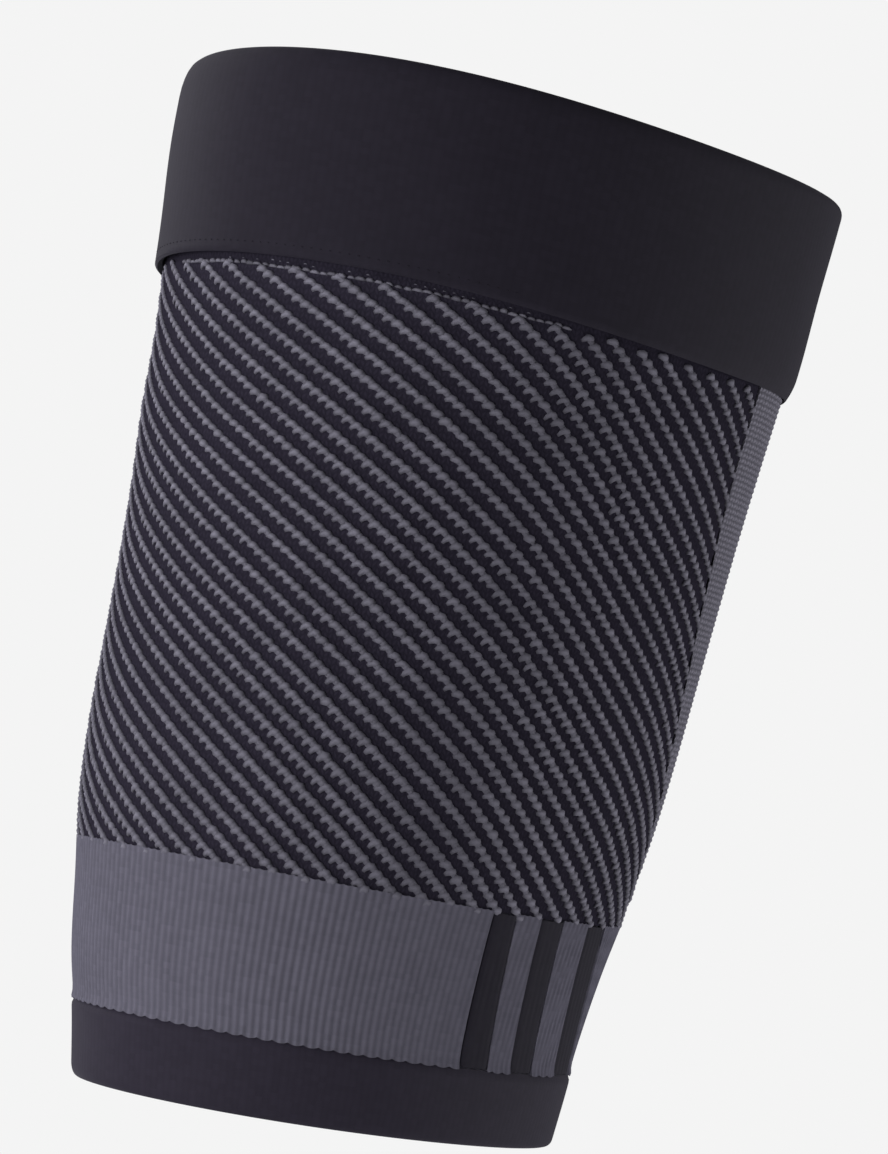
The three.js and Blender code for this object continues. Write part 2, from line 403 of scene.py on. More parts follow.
class Graph:
    """Node tree of one material, or of the world."""

    def __init__(self, owner: bpy.types.Material | bpy.types.World) -> None:
        """Start an empty tree."""
        owner.use_nodes = True
        self.tree = owner.node_tree
        self.tree.nodes.clear()

    def node(
        self,
        kind: str,
        settings: dict[str, Any] | None = None,
        inputs: dict[str | int, Any] | None = None,
        output: str | int = 0,
    ) -> Value:
        """Add a node of any kind.

        Args:
            kind: Node type.
            settings: Properties, set first.
            inputs: Values or links of its sockets, by name or index.
            output: Socket to return.

        Returns:
            The chosen output.
        """
        made = self.tree.nodes.new(kind)
        for name, setting in (settings or {}).items():
            setattr(made, name, setting)
        for key, value in (inputs or {}).items():
            if isinstance(value, Value):
                self.tree.links.new(value.socket, made.inputs[key])
            else:
                made.inputs[key].default_value = value
        return Value(self, made.outputs[output] if made.outputs else None)

    def mix(self, share: Number, start: Any, end: Any) -> Value:
        """Mix two colours.

        Args:
            share: Share of the second colour.
            start: First colour.
            end: Second colour.

        Returns:
            The mixed colour.
        """
        settings = {"data_type": "RGBA", "clamp_factor": True}
        return self.node("ShaderNodeMix", settings, {0: share, 6: start, 7: end}, 2)

    def knit(self) -> tuple[Value, Value]:
        """Return the knit coordinates: wales round the leg and courses up it."""
        place = self.node("ShaderNodeUVMap", {"uv_map": COORDINATES})
        wale = self.node("ShaderNodeSeparateXYZ", None, {0: place}, 0)
        course = self.node("ShaderNodeSeparateXYZ", None, {0: place}, 1)
        return wale, course

    def noise(self, size: float) -> Value:
        """Return noise over the object, round one half, with spots of a size in metres."""
        place = self.node("ShaderNodeTexCoord", None, None, "Object")
        return self.node("ShaderNodeTexNoise", None, {"Vector": place, "Scale": 1 / size, "Detail": 2.0})

    def by_stitch(self, wale: Value, course: Value) -> Value:
        """Return a number from 0 to 1 that differs from stitch to stitch."""
        corner = {0: wale.math("FLOOR", wale), 1: course.math("FLOOR", course)}
        cell = self.node("ShaderNodeCombineXYZ", None, corner)
        return self.node("ShaderNodeTexWhiteNoise", {"noise_dimensions": "2D"}, {"Vector": cell})


@dataclass(frozen=True)
class KnitFinish:
    """Knitted cloth: a painted highlight on the crowns of its loops and painted shade between them."""

    name: str
    crown: Colour
    shaded_gap: Colour
    loops: Loops
    wales: float = 1.0
    relief: float = 0.25 * MM
    melange: float = 0.2
    roughness: float = 0.8
    sheen: float = 0.12
    # Power by which painted shade darkens a strand's flanks
    flank_shade: float = 1.5
    slant: float = 0.7
    gloss: float = 0.08

    def loop_height_and_shade(self, wale: Value, course: Value) -> Value:
        """Shape the loops, for the bump and for the painted highlight and shade.

        Args:
            wale: Wales round the leg.
            course: Courses up the leg.

        Returns:
            Height of the yarn, from 0 to 1; it also sets the colour's share of painted highlight over painted
            shade.
        """
        if self.loops is Loops.RIB:
            # Ribs: painted highlight on the crests and painted shade in the grooves.
            crown = 0.5 + 0.5 * (wale * (2 * math.pi) + math.pi / 2).sine()
            step = 0.5 + 0.5 * (course * (2 * math.pi)).sine()
            return 0.9 * crown + 0.1 * step
        if self.loops is Loops.STRAND:
            # Strand: painted highlight on its top, most near its middle, and painted shade on its flanks and
            # towards its ends.
            along = ((wale + 0.5).part() - 0.5) * (1 / STRAND_SPAN) + 0.5
            top = ((course + 0.5).part() - 0.5) * (1 / STRAND_SPAN) + 0.5
            bead = 1 - BEAD_END_SHADE * abs(along * 2 - 2 * BEAD_MIDDLE) ** BEAD_ROUND
            return top**self.flank_shade * bead
        # Jersey: painted highlight on the loops and painted shade between them.
        side = abs((wale + 0.5).part() * 2 - 1)
        legs = 1 - abs(side * 2 - 1)
        rows = 1 - abs((course + side * self.slant).part() * 2 - 1)
        return legs**0.6 * rows**0.7

    def material(self) -> bpy.types.Material:
        """Return the material, made once for each finish."""
        known = bpy.data.materials.get(self.name)
        if known:
            return known
        made = bpy.data.materials.new(self.name)
        graph = Graph(made)
        wale, course = graph.knit()
        height = self.loop_height_and_shade(wale * self.wales, course)
        fibre = graph.noise(0.25 * MM)
        cloud = graph.noise(18 * MM)
        stitch = graph.by_stitch(wale + 0.5, course + 0.5)
        shade = 1 + self.melange * (0.8 * (fibre - 0.5) + 0.9 * (cloud - 0.5) + 0.6 * (stitch - 0.5))
        # Painted shade and highlight: the colour runs from the darker gap colour up to the crown colour with
        # the loop height.
        yarn = graph.mix(height, self.shaded_gap, self.crown)
        colour = graph.node("ShaderNodeVectorMath", {"operation": "SCALE"}, {0: yarn, 3: shade})
        bump = graph.node(
            "ShaderNodeBump",
            None,
            {"Strength": 0.8, "Distance": self.relief, "Height": height + 0.35 * fibre},
        )
        cloth = graph.node(
            "ShaderNodeBsdfPrincipled",
            None,
            {
                "Base Color": colour,
                "Roughness": self.roughness + 0.15 * (fibre - 0.5),
                "Normal": bump,
                "Specular IOR Level": self.gloss,
                "Sheen Weight": self.sheen,
                "Sheen Roughness": 0.4,
                "Sheen Tint": (0.82, 0.80, 0.93, 1),
            },
        )
        graph.node("ShaderNodeOutputMaterial", None, {"Surface": cloth})
        return made


CUFF_KNIT = KnitFinish(
    name="smooth dark knit",
    crown=(0.0150, 0.0130, 0.0202, 1),
    shaded_gap=(0.0141, 0.0122, 0.0190, 1),
    loops=Loops.RIB,
    relief=0.012 * MM,
    sheen=0.09,
)
# Lighter copy of the cuff's knit: painted light on the hem.
LIT_HEM_KNIT = KnitFinish(
    name="smooth dark knit lit for the hem",
    crown=(0.0216, 0.0187, 0.0291, 1),
    shaded_gap=(0.0203, 0.0174, 0.0273, 1),
    loops=Loops.RIB,
    relief=0.012 * MM,
    sheen=0.09,
)
GROUND_KNIT = KnitFinish(
    name="dark ground knit",
    crown=(0.0242, 0.0212, 0.0329, 1),
    shaded_gap=(0.0158, 0.0140, 0.0218, 1),
    loops=Loops.JERSEY,
    relief=0.12 * MM,
    sheen=0.006,
    gloss=0.0,
)
# Crown and gap of the ridge yarn differ by painted highlight and painted shade across each strand.
RIDGE_YARN = KnitFinish(
    name="light ridge yarn",
    crown=(0.165, 0.158, 0.199, 1),
    shaded_gap=(0.044, 0.042, 0.054, 1),
    loops=Loops.STRAND,
    relief=0.05 * MM,
    melange=0.35,
    sheen=0.12,
    flank_shade=2.4,
)
SEAM_YARN = KnitFinish(
    name="dull seam yarn",
    crown=(0.120, 0.115, 0.144, 1),
    shaded_gap=(0.036, 0.034, 0.044, 1),
    loops=Loops.STRAND,
    relief=0.05 * MM,
    melange=0.9,
    sheen=0.05,
)
BAND_KNIT = KnitFinish(
    name="ribbed grey knit",
    crown=(0.1020, 0.0975, 0.1270, 1),
    shaded_gap=(0.0813, 0.0784, 0.1020, 1),
    loops=Loops.RIB,
    relief=0.06 * MM,
    sheen=0.0,
    gloss=0.0,
)
STRIPE_KNIT = KnitFinish(
    name="ribbed dark knit",
    crown=(0.0143, 0.0127, 0.0197, 1),
    shaded_gap=(0.0130, 0.0114, 0.0179, 1),
    loops=Loops.RIB,
    relief=0.012 * MM,
    sheen=0.03,
)
PANEL_KNIT = KnitFinish(
    name="plain grey knit",
    crown=(0.205, 0.196, 0.244, 1),
    shaded_gap=(0.062, 0.059, 0.076, 1),
    loops=Loops.JERSEY,
    wales=0.5,
    slant=0.2,
    relief=0.2 * MM,
    sheen=0.05,
)
THREAD = KnitFinish(
    name="dark sewing thread",
    crown=(0.0134, 0.0118, 0.0179, 1),
    shaded_gap=(0.0095, 0.0084, 0.0129, 1),
    loops=Loops.STRAND,
    relief=0.05 * MM,
    sheen=0.02,
)


def fit_out(piece: bpy.types.Object, node: str | None = None) -> bpy.types.Object:
    """Make a piece part of the object.

    Args:
        piece: New piece.
        node: CAD node that it stands for.

    Returns:
        The piece.
    """
    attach(piece, BODY)
    if node:
        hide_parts(node)
    LOG.info("%s: %d faces", piece.name, len(piece.data.polygons))
    return piece


def around(count: int) -> np.ndarray:
    """Return arc angles spread evenly round the whole leg."""
    return np.linspace(-np.pi, np.pi, count, endpoint=False)


def near(turn: np.ndarray, middle_deg: float, reach_deg: float) -> np.ndarray:
    """Return a smooth hump from 0 to 1 round an arc angle."""
    away = (turn - math.radians(middle_deg) + np.pi) % (2 * np.pi) - np.pi
    return np.exp(-((away / math.radians(reach_deg)) ** 2))


def ease(value: np.ndarray, start: float, end: float) -> np.ndarray:
    """Return a smooth step from 0 at one value to 1 at another."""
    share = np.clip((value - start) / (end - start), 0, 1)
    return share * share * (3 - 2 * share)


def cuff_edge(turn: np.ndarray) -> np.ndarray:
    """Return the height of the cuff's lower edge, which slopes down to the right."""
    away = np.degrees((turn + np.pi) % (2 * np.pi) - np.pi)
    return CUFF_EDGE + 2.4 * MM * ease(away, -178, -130) * (1 - ease(away, -20, 60))


def panel_edge(height: np.ndarray) -> np.ndarray:
    """Return the arc angle of the plain panel's near edge, which swings back lower down."""
    top, bottom = math.radians(68.5), math.radians(92)
    drop = np.clip((CUFF_EDGE - height) / (CUFF_EDGE - BAND_TOP), 0, None)
    return top + (bottom - top) * drop**2


def tube_rows(rows: int, inner_rows: int = 9) -> tuple[np.ndarray, np.ndarray]:
    """Spread the rows of the tube between the band and the cuff.

    Args:
        rows: Rows up the outer face.
        inner_rows: Rows back down the inner face.

    Returns:
        Heights up the outer face, and those of both faces.
    """
    bottom, top = BAND_TOP + GAP / 2, CUFF_EDGE + CUFF_LAP
    height = np.linspace(bottom, top, rows)[:, None]
    return height, np.concatenate([height, np.linspace(top, bottom, inner_rows)[:, None]])


def teeth(turn: np.ndarray, needles: float, depth: float) -> np.ndarray:
    """Return the rounded teeth of a border between two knits.

    Args:
        turn: Arc angles.
        needles: Needles to a tooth.
        depth: Depth of a tooth.

    Returns:
        Distances below the border line.
    """
    wale = (turn - RIDGE_PHASE) / NEEDLE_TURN
    return depth * np.sqrt(np.abs(np.cos(np.pi * wale / needles)))


@dataclass(frozen=True)
class Cuff:
    """Folded top cuff, with a row of sewing thread above its lower edge."""

    leg: Leg
    proud: float = 1.9 * MM
    edge_round: float = 0.5 * MM
    fold: float = 5.5 * MM
    thread_rise: float = 2.7 * MM
    thread_ends: tuple[float, float] = (math.radians(-80), math.radians(5))
    thread_half: float = 0.17 * MM
    thread_tip: float = 0.10 * MM
    columns: int = 432
    rows: int = 40
    fold_rows: int = 12

    def outer(self, turn: np.ndarray, height: np.ndarray) -> np.ndarray:
        """Return the offset of the outer face, which flares at the left and tucks in at the right."""
        above = (height - CUFF_EDGE) / (RIM - CUFF_EDGE)
        edge = np.exp(-((above / 0.16) ** 2))
        tuck = np.clip(1 - above / 0.12, 0, 1) ** 2
        flare = 0.3 * MM * near(turn, -90, 30) * edge - 1.3 * MM * near(turn, 85, 32) * tuck
        sway = 0.16 * MM * np.sin(5 * turn + 1.3) + 0.10 * MM * np.sin(9 * turn + 6 * above)
        return self.proud + flare + sway * np.sin(np.pi * np.clip(above, 0, 1))

    def build(self) -> bpy.types.Object:
        """Return the cuff."""
        turn = around(self.columns)[None, :]
        edge = cuff_edge(turn)
        fold = self.fold + 2 * MM * near(turn, -95, 45) - 3.2 * MM * near(turn, 80, 42)
        rim = RIM + 0.7 * MM * near(turn, -15, 35)
        rise = np.linspace(0, 1, self.rows)[:, None]
        outer_z = edge + self.edge_round + (rim - fold - edge - self.edge_round) * rise
        bend = np.linspace(0, np.pi, self.fold_rows)[1:, None]
        top_offset = self.outer(turn, rim - fold)
        middle, reach = (top_offset - WALL) / 2, (top_offset + WALL) / 2
        fold_z = rim - fold * (1 - np.sin(bend))
        step = CUFF_EDGE + CUFF_LAP + GAP
        sink = np.linspace(0, 1, 8)[1:, None]
        inner_z = (rim - fold) + (step - rim + fold) * sink
        lap_z = np.array([step, CUFF_EDGE + 5 * MM])[:, None]
        lip = self.outer(turn, edge) - GAP
        height = [outer_z, fold_z, inner_z, lap_z, edge + 2 * self.edge_round, edge + self.edge_round, edge]
        offset = [
            self.outer(turn, outer_z),
            middle + reach * np.cos(bend),
            -WALL,
            GAP,
            GAP,
            GAP + 0.3 * lip,
            GAP + 0.65 * lip,
        ]
        pairs = [np.broadcast_arrays(z, n, turn)[:2] for z, n in zip(height, offset)]
        mesh = KnitMesh("cuff_knit", self.leg)
        mesh.shell(turn, *(np.concatenate(part) for part in zip(*pairs)), ring=True)
        return mesh.piece(CUFF_KNIT)

    def thread(self) -> bpy.types.Object:
        """Return the row of stitches above the lower edge."""
        turn = around(NEEDLES)
        turn = turn[(turn > self.thread_ends[0]) & (turn < self.thread_ends[1])]
        height = cuff_edge(turn) + self.thread_rise
        reach = np.linspace(-0.6 * MM, 0.6 * MM, 4)
        line = np.zeros((len(turn), 4, 3))
        line[..., 0] = reach
        line[..., 2] = self.outer(turn, height)[:, None] - np.array([0.25, 0.02, 0.02, 0.25]) * MM
        thick = np.array([self.thread_tip, self.thread_half, self.thread_half, self.thread_tip])
        thick = np.broadcast_to(thick, (len(turn), 4))
        mesh = KnitMesh("cuff_thread", self.leg)
        mesh.tubes(turn, height, line, thick, thick)
        return mesh.piece(THREAD)

    def dress(self) -> None:
        """Build the cuff and sew it."""
        cuff = fit_out(self.build(), "top_cuff")
        thread = fit_out(self.thread())


@dataclass(frozen=True)
class Knot:
    """One point of a light stitch: needles across, courses up, lift in millimetres and relative thickness."""

    across: float
    up: float
    lift: float
    swell: float


STEP = (
    Knot(-0.72, 0.00, -0.30, 0.48),
    Knot(-0.40, 0.04, -0.08, 0.80),
    Knot(0.00, 0.02, 0.06, 1.00),
    Knot(0.34, -0.10, 0.02, 0.92),
    Knot(0.64, -0.28, -0.20, 0.60),
)
TOOTH = (
    Knot(-0.64, -1.10, -0.26, 0.44),
    Knot(-0.44, -0.60, -0.04, 0.66),
    Knot(-0.04, -0.02, 0.06, 0.94),
    Knot(0.34, -0.10, 0.02, 0.92),
    Knot(0.64, -0.28, -0.20, 0.60),
)
LINK = (
    Knot(0.05, -0.03, -0.18, 0.84),
    Knot(0.50, -0.47, -0.14, 0.86),
    Knot(0.95, -0.97, -0.18, 0.84),
)


@dataclass(frozen=True)
class SeamRow:
    """Row of yarn dashes under the cuff: end angles in degrees, drop below the edge, thickness and length."""

    start: float
    end: float
    drop: float
    half: float
    share: float
    length: float


@dataclass(frozen=True)
class RidgedBody:
    """Dark ground of the tube, the light ridges knitted into it and the seam yarn under the cuff."""

    leg: Leg
    ground: float = -0.75 * MM
    ridge_base: float = 0.45 * MM
    edge_dip: float = 0.7 * MM
    edge_swell: float = 0.75 * MM
    panel_gap: float = 0.05 * MM
    stitch_depth: float = -0.45 * MM
    stitch_half: float = 0.92 * MM
    stitch_flatness: float = 0.62
    stitch_wander: float = 0.05 * MM
    stitch_uneven: float = 0.07
    bare_top: float = 0.8 * MM
    seam_room: float = 1.5 * MM
    crowding: float = 0.088
    head_start: float = 2.5
    # Humps round the leg, as their middle and reach in degrees
    toothed_front: tuple[float, float] = (-14, 38)
    # The front's stitches are thicker and get painted shade; beside it a painted shadow band runs down the
    # leg.
    thick_shaded_front: tuple[float, float] = (-12, 40)
    painted_shadow_band: tuple[float, float] = (20, 15)
    corded_front: tuple[float, float] = (-8, 34)
    seam_rows: tuple[SeamRow, ...] = (
        SeamRow(-63, 16, 2.0 * MM, 0.55 * MM, 0.97, 1.15),
        SeamRow(-52, 8, 0.75 * MM, 0.15 * MM, 0.7, 0.45),
    )
    columns: int = 400
    rows: int = 150
    seed: int = 11

    def seamed(self, turn: np.ndarray) -> np.ndarray:
        """Return where the seam shows under the cuff: 1 at the front, 0 at the sides."""
        away = np.degrees(turn)
        return ease(away, -76, -54) * (1 - ease(away, 4, 26))

    def worn(self, turn: np.ndarray) -> tuple[np.ndarray, np.ndarray]:
        """Return how wear pulls the courses: share they crowd by at the left, head start at the right."""
        away = np.degrees(turn)
        return self.crowding * (1 - ease(away, -55, 15)), self.head_start * ease(away, 12, 48)

    def course_at(self, turn: np.ndarray, height: np.ndarray) -> np.ndarray:
        """Return the course that lies at a height."""
        crowding, ahead = self.worn(turn)
        return height * (1 + crowding) / COURSE + ahead

    def height_of(self, turn: np.ndarray, course: np.ndarray) -> np.ndarray:
        """Return the height that a course lies at."""
        crowding, ahead = self.worn(turn)
        return (course - ahead) * COURSE / (1 + crowding)

    def relief(self, turn: np.ndarray, height: np.ndarray) -> np.ndarray:
        """Return the ground's offset: raised along the ridges, sunk under the cuff, full at its left tip."""
        lane = ((turn - RIDGE_PHASE) / NEEDLE_TURN + self.course_at(turn, height)) / NEEDLES_PER_RIDGE
        away = np.abs((lane + 0.5) % 1 - 0.5)
        below = cuff_edge(turn) - height
        sunk = self.edge_dip * near(turn, -35, 48) * (1 - ease(below, 0.6 * MM, 2.4 * MM))
        swell = self.edge_swell * near(turn, -95, 24) * (1 - ease(below, 0.5 * MM, 5 * MM))
        rise = self.ridge_base * ease(below, 0.6 * MM, 2.4 * MM) * np.exp(-((away / 0.16) ** 2))
        return self.ground - sunk + np.maximum(rise, swell)

    def build(self) -> bpy.types.Object:
        """Return the ground."""
        across = np.linspace(0, 1, self.columns)[None, :]
        height, span = tube_rows(self.rows)
        near_edge = panel_edge(span) - self.panel_gap / self.leg.column("half", span)
        turn = FAR_EDGE + (near_edge - FAR_EDGE) * across
        offset = np.full_like(turn, -WALL)
        offset[: self.rows] = self.relief(turn[: self.rows], height)
        mesh = KnitMesh("ridge_ground", self.leg)
        mesh.shell(turn, np.broadcast_to(span, turn.shape), offset, ring=False)
        return mesh.piece(GROUND_KNIT)

    def places(self) -> tuple[np.ndarray, np.ndarray]:
        """Return arc angles and heights of the light stitches."""
        wales = np.arange(-90, 60)
        courses = np.arange(math.floor(1.1 * BAND_TOP / COURSE), math.floor(1.1 * CUFF_EDGE / COURSE) + 6)
        wale, course = (grid.ravel() for grid in np.meshgrid(wales, courses))
        turn = wale * NEEDLE_TURN + RIDGE_PHASE
        height = self.height_of(turn, course)
        keep = (wale + course) % NEEDLES_PER_RIDGE == 0
        keep &= (turn > FAR_EDGE) & (turn < panel_edge(height) + 0.3 * NEEDLE_TURN)
        bare = self.bare_top + self.seam_room * self.seamed(turn)
        keep &= (height > BAND_TOP - 0.4 * COURSE) & (height < cuff_edge(turn) - bare)
        return turn[keep], height[keep]

    def lower(self, height: np.ndarray) -> np.ndarray:
        """Return 1 in the lower half of the ridges, 0 in the upper."""
        return 1 - ease(height, -45 * MM, 10 * MM)

    def lay(
        self,
        mesh: KnitMesh,
        turn: np.ndarray,
        height: np.ndarray,
        shape: np.ndarray,
        chance: np.random.Generator,
        tone: np.ndarray,
    ) -> None:
        """Lay one strand of light yarn at each stitch.

        Args:
            mesh: Piece that the strands join.
            turn: Arc angles of the stitches.
            height: Ring heights of the stitches.
            shape: For each stitch, the values of its knots.
            chance: Source of small differences.
            tone: Painted shade or painted highlight on the top of each strand: 1 for its finish, lower for
                painted shade, at most 1.2 for painted highlight.
        """
        count = len(turn)
        pitch = NEEDLE_TURN * self.leg.column("half", height)
        wander = self.stitch_wander * chance.standard_normal((2, count, 1))
        line = np.empty((*shape.shape[:2], 3))
        line[..., 0] = shape[..., 0] * pitch[:, None] + wander[0]
        fall = height - self.height_of(turn + NEEDLE_TURN, self.course_at(turn, height) - 1)
        line[..., 1] = shape[..., 1] * fall[:, None] + wander[1]
        line[..., 2] = self.stitch_depth + shape[..., 2] * MM
        uneven = 1 + self.stitch_uneven * chance.standard_normal((count, 1))
        thick = self.stitch_half * shape[..., 3] * uneven
        fuller = 0.1 * ease(np.degrees(turn), -45, -10) + 0.06 * near(turn, *self.thick_shaded_front)
        fuller += 0.12 * self.lower(height)
        thick *= 1 + fuller[:, None]
        mesh.tubes(turn, height, line, thick, self.stitch_flatness * thick, tone)

    def stitches(self, name: str, turn: np.ndarray, height: np.ndarray) -> bpy.types.Object:
        """Knit the light stitches of the ridges: beads, most with a tooth at the left, on a linking cord.

        Args:
            name: Piece name.
            turn: Arc angles of the stitches.
            height: Ring heights of the stitches.

        Returns:
            The joined stitches.
        """
        chance = np.random.default_rng(self.seed)
        step, tooth, link = (np.array([astuple(knot) for knot in knots]) for knots in (STEP, TOOTH, LINK))
        low, right = self.lower(height), ease(np.degrees(turn), 8, 36)
        pull = 0.35 + 0.22 * np.sin(6 * turn + height / (11 * MM)) + 0.22 * chance.standard_normal(len(turn))
        pull = np.clip(pull + 0.4 * near(turn, *self.toothed_front) - 0.2 * right, 0, 1)[:, None, None]
        mesh = KnitMesh(name, self.leg)
        # Painted shade on the stitches' tops: darker at the front, in a painted shadow band down the leg and
        # low on the left; painted light makes them lighter towards the right, more so low down.
        dull = 0.07 * near(turn, *self.thick_shaded_front) + 0.26 * near(turn, *self.painted_shadow_band)
        dull += 0.14 * low * (1 - right)
        tone = 0.97 - dull + (0.08 + 0.1 * low) * right
        self.lay(mesh, turn, height, (1 - pull) * step + pull * tooth, chance, tone)
        linked = (height > BAND_TOP + 0.6 * COURSE) & (turn < panel_edge(height) - 0.7 * NEEDLE_TURN)
        turn, height, low, right, tone = (values[linked] for values in (turn, height, low, right, tone))
        cords = np.repeat(link[None], len(turn), axis=0)
        full = np.maximum(np.maximum(near(turn, *self.corded_front), low), right) * (1 - 0.5 * right)
        cords[..., 3] *= (0.79 + 0.21 * full)[:, None]
        # Painted shade between the beads: the linking cords' tops are darker than the beads, least where the
        # cords are fullest.
        self.lay(mesh, turn, height, cords, chance, (0.42 + 0.32 * full) * tone)
        return mesh.piece(RIDGE_YARN, crease=math.pi)

    def seam(self) -> bpy.types.Object:
        """Return the broken rows of light yarn under the cuff's edge."""
        chance = np.random.default_rng(self.seed + 1)
        mesh = KnitMesh("seam_yarn", self.leg)
        for row in self.seam_rows:
            turn = np.arange(math.radians(row.start), math.radians(row.end), NEEDLE_TURN)
            turn = turn[chance.random(len(turn)) < row.share]
            count = len(turn)
            drop = row.drop - 0.9 * MM * (1 - self.seamed(turn)) + 0.4 * MM * near(turn, -22, 22)
            height = cuff_edge(turn) - drop + 0.12 * MM * chance.standard_normal(count)
            pitch = NEEDLE_TURN * self.leg.column("half", height)
            length = row.length * chance.uniform(0.75, 1.1, (count, 1))
            line = np.zeros((count, 4, 3))
            line[..., 0] = pitch[:, None] * length * np.array([-0.5, -0.2, 0.2, 0.5])
            line[..., 1] = np.array([-0.12, 0.08, 0.08, -0.12]) * MM
            line[..., 2] = self.relief(turn, height)[:, None] + np.array([-0.12, 0.06, 0.06, -0.12]) * MM
            thick = row.half * np.array([0.5, 1, 1, 0.5]) * chance.uniform(0.7, 1.15, (count, 1))
            mesh.tubes(turn, height, line, thick, thick)
        return mesh.piece(SEAM_YARN, crease=math.pi)

    def dress(self) -> None:
        ground = fit_out(self.build(), "knit_body")
        turn, height = self.places()
        left = turn < math.radians(-25)
        halves = {"ridge_stitches_left": left, "ridge_stitches_right": ~left}
        pieces = [
            fit_out(self.stitches(name, turn[side], height[side]))
            for name, side in halves.items()
        ]
        pieces.append(fit_out(self.seam()))


@dataclass(frozen=True)
class BackPanel:
    """Plain grey knit that closes the tube behind."""

    leg: Leg
    sunk: float = 0.3 * MM
    rib: float = 0.10 * MM
    loop: float = 0.14 * MM
    columns: int = 185
    rows: int = 420

    def build(self) -> bpy.types.Object:
        """Return the panel."""
        height, span = tube_rows(self.rows)
        across = np.linspace(0, 1, self.columns)[None, :]
        start = panel_edge(span)
        turn = start + (FAR_EDGE + 2 * np.pi - start) * across
        offset = np.full_like(turn, -WALL)
        wale = (turn[: self.rows] - RIDGE_PHASE) / NEEDLE_TURN * PANEL_KNIT.wales
        side = np.abs((wale + 0.5) % 1 * 2 - 1)
        loops = self.rib * np.cos(2 * np.pi * wale)
        loops -= self.loop * np.cos(2 * np.pi * (height / COURSE + PANEL_KNIT.slant * side))
        offset[: self.rows] = loops - self.sunk
        mesh = KnitMesh("panel_knit", self.leg)
        mesh.shell(turn, np.broadcast_to(span, turn.shape), offset, ring=False)
        return mesh.piece(PANEL_KNIT)

    def dress(self) -> None:
        """Build the panel."""
        panel = fit_out(self.build(), "back_panel")


@dataclass(frozen=True)
class Stripe:
    """Arc angles, in degrees, of one dark stripe's edges at the band's top and at the hem."""

    start_top: float
    end_top: float
    start_hem: float
    end_hem: float


